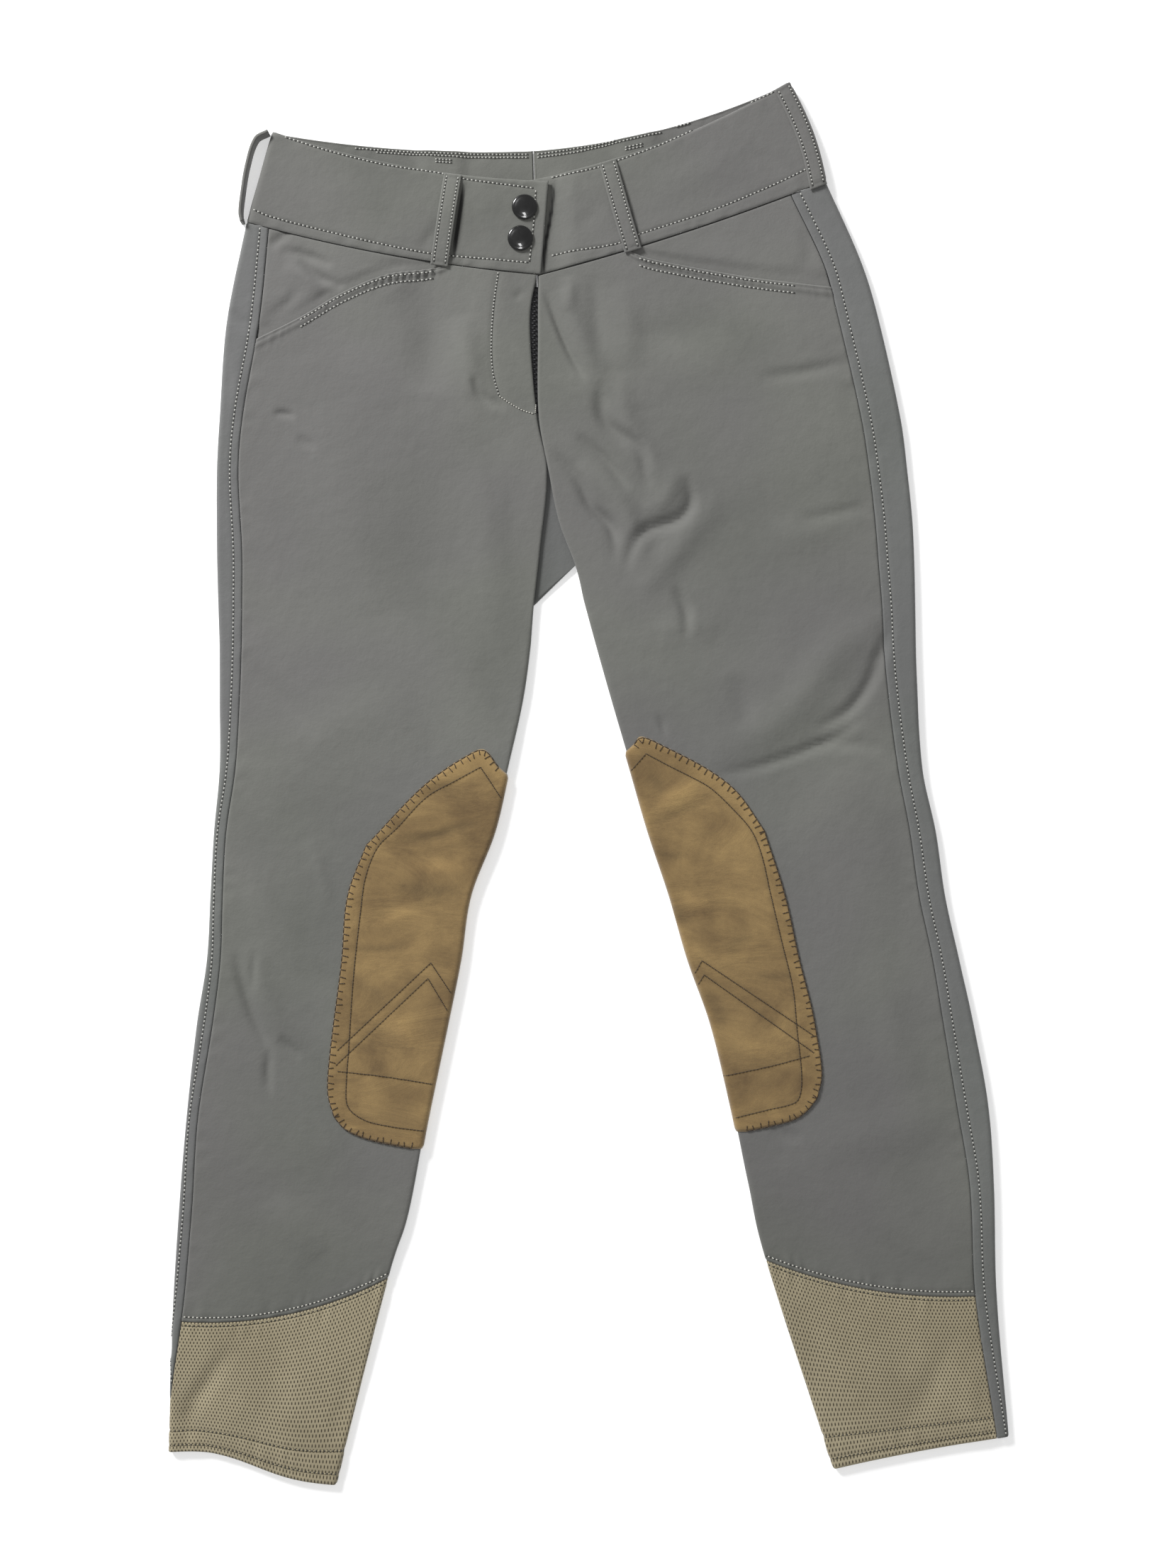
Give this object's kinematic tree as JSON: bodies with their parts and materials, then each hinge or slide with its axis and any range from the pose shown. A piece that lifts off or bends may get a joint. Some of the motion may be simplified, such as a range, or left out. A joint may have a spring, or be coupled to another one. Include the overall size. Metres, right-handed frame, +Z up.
{
  "type": "riding breeches",
  "caption": "Women's riding breeches laid flat, front up: wide snap waistband with belt loops, slant pockets, suede knee patches and knitted ankle cuffs.",
  "frame": {"origin": "on the surface the garment lies on, below the middle of its outline", "axes": "+Y towards the waist along the garment's length, +X towards the wearer's left leg, +Z up out of the front"},
  "size_m": [0.5939, 0.9909, 0.0106],
  "materials": {
    "stretch_woven": "matt fine twill, four-way stretch woven, warm mid grey",
    "suede": "napped microfibre suede, tan",
    "mesh_knit": "stretch mesh knit, sand",
    "snap_metal": "polished gunmetal plating",
    "zip_tape": "woven tape with moulded teeth, black"
  },
  "bodies": {
    "root": {"front_right": "stretch_woven", "front_left": "stretch_woven", "back_right": "stretch_woven", "back_left": "stretch_woven", "pocket_facing_right": "stretch_woven", "pocket_facing_left": "stretch_woven", "waistband_right": "stretch_woven", "waistband_left": "stretch_woven", "loop_front_right": "stretch_woven", "loop_front_left": "stretch_woven", "loop_side_right": "stretch_woven", "loop_side_left": "stretch_woven", "loop_back_right": "stretch_woven", "loop_back_left": "stretch_woven", "knee_patch_right": "suede", "knee_patch_left": "suede", "cuff_right": "mesh_knit", "cuff_left": "mesh_knit", "fly_zip": "zip_tape", "snap_upper": "snap_metal", "snap_lower": "snap_metal"}
  },
  "joints": []
}
